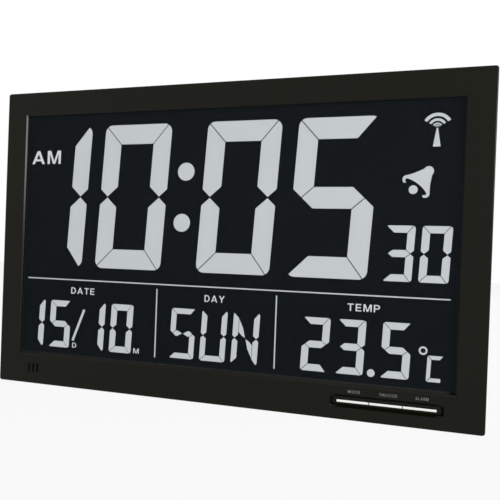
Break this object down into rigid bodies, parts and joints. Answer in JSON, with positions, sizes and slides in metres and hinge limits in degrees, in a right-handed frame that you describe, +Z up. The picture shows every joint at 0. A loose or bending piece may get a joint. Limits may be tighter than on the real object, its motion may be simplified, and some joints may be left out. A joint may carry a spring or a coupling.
{
  "type": "digital wall clock",
  "caption": "Slab-shaped digital wall clock with a large segment display for time, date, day and temperature, a row of front keys, a battery door and a fold-out stand.",
  "frame": {"origin": "middle of the base, at the centre of the case's width and depth", "axes": "+X to the right of the display, +Y from the display to the rear cover, +Z up"},
  "size_m": [0.368, 0.029, 0.23],
  "materials": {
    "bezel_plastic": "satin warm black",
    "cover_plastic": "fine textured black",
    "clear_window": "clear, anti-reflective",
    "display_glass": "clear",
    "display_back": "dark blue-black, opaque",
    "segment_white": "matt pale grey",
    "silver_key": "bright metallised silver",
    "white_plastic": "matt white",
    "carrier_plastic": "matt grey",
    "switch_plastic": "matt black",
    "black_rubber": "matt black",
    "adhesive_tape": "matt black tape",
    "board_green": "satin solder mask",
    "steel": "bright steel",
    "ferrite": "matt dark grey",
    "copper_wire": "enamelled copper",
    "battery_jacket": "plain glossy jacket",
    "red_lead": "satin red",
    "black_lead": "satin black",
    "white_lead": "satin white"
  },
  "bodies": {
    "case": {"front_bezel": "bezel_plastic", "rear_cover": "cover_plastic", "case_screws": "steel", "window_tape": "adhesive_tape", "display_window": "clear_window", "lcd_gasket": "black_rubber", "lcd_front_glass": "display_glass", "lcd_cell_seal": "black_rubber", "lcd_time_segments": "segment_white", "lcd_seconds_segments": "segment_white", "lcd_date_segments": "segment_white", "lcd_day_segments": "segment_white", "lcd_temperature_segments": "segment_white", "lcd_divider_lines": "segment_white", "lcd_icons": "segment_white", "lcd_rear_glass": "display_back", "lcd_reflector": "white_plastic", "lcd_carrier": "carrier_plastic", "carrier_screws": "steel", "zebra_strip": "black_rubber", "main_board": "board_green", "main_board_screws": "steel", "driver_chip": "switch_plastic", "crystal": "steel", "rear_switches": "switch_plastic", "key_board": "board_green", "key_board_screws": "steel", "front_switches": "switch_plastic", "key_ribbon": "white_lead", "sensor_board": "board_green", "temperature_sensor": "switch_plastic", "sensor_leads": "white_lead", "antenna_holder": "white_plastic", "ferrite_rod": "ferrite", "antenna_coil": "copper_wire", "receiver_board": "board_green", "antenna_leads": "copper_wire", "receiver_leads": "white_lead", "buzzer": "switch_plastic", "buzzer_leads": "black_lead", "battery_cells": "battery_jacket", "battery_contact_negative": "steel", "battery_contact_positive": "steel", "battery_contact_bridge": "steel", "battery_lead_black": "black_lead", "battery_lead_red": "red_lead", "stand_hinge_pin": "steel"},
    "mode_push": {"mode_key": "silver_key", "mode_plunger": "white_plastic"},
    "snooze_push": {"snooze_key": "silver_key", "snooze_plunger": "white_plastic"},
    "alarm_push": {"alarm_key": "silver_key", "alarm_plunger": "white_plastic"},
    "plus_push": {"plus_key": "switch_plastic", "plus_plunger": "white_plastic"},
    "minus_push": {"minus_key": "switch_plastic", "minus_plunger": "white_plastic"},
    "door": {"battery_door": "cover_plastic"},
    "stand": {"stand_leg": "cover_plastic", "stand_pad": "black_rubber"}
  },
  "joints": [
    {"name": "mode_press", "type": "slide", "parent": "case", "child": "mode_push", "axis": [0, 1, 0], "range_m": [0, 0.0008], "stiffness_N_per_m": 400, "springref_m": -0.0005},
    {"name": "snooze_press", "type": "slide", "parent": "case", "child": "snooze_push", "axis": [0, 1, 0], "range_m": [0, 0.0008], "stiffness_N_per_m": 400, "springref_m": -0.0005},
    {"name": "alarm_press", "type": "slide", "parent": "case", "child": "alarm_push", "axis": [0, 1, 0], "range_m": [0, 0.0008], "stiffness_N_per_m": 400, "springref_m": -0.0005},
    {"name": "plus_press", "type": "slide", "parent": "case", "child": "plus_push", "axis": [0, -1, 0], "range_m": [0, 0.0008], "stiffness_N_per_m": 400, "springref_m": -0.0005},
    {"name": "minus_press", "type": "slide", "parent": "case", "child": "minus_push", "axis": [0, -1, 0], "range_m": [0, 0.0008], "stiffness_N_per_m": 400, "springref_m": -0.0005},
    {"name": "door_hinge", "type": "hinge", "parent": "case", "child": "door", "pos_m": [0.095, 0.0134, 0.0881], "axis": [-1, 0, 0], "range_deg": [0, 95]},
    {"name": "stand_hinge", "type": "hinge", "parent": "case", "child": "stand", "pos_m": [0, 0.0123, 0.118], "axis": [1, 0, 0], "range_deg": [0, 25]}
  ]
}
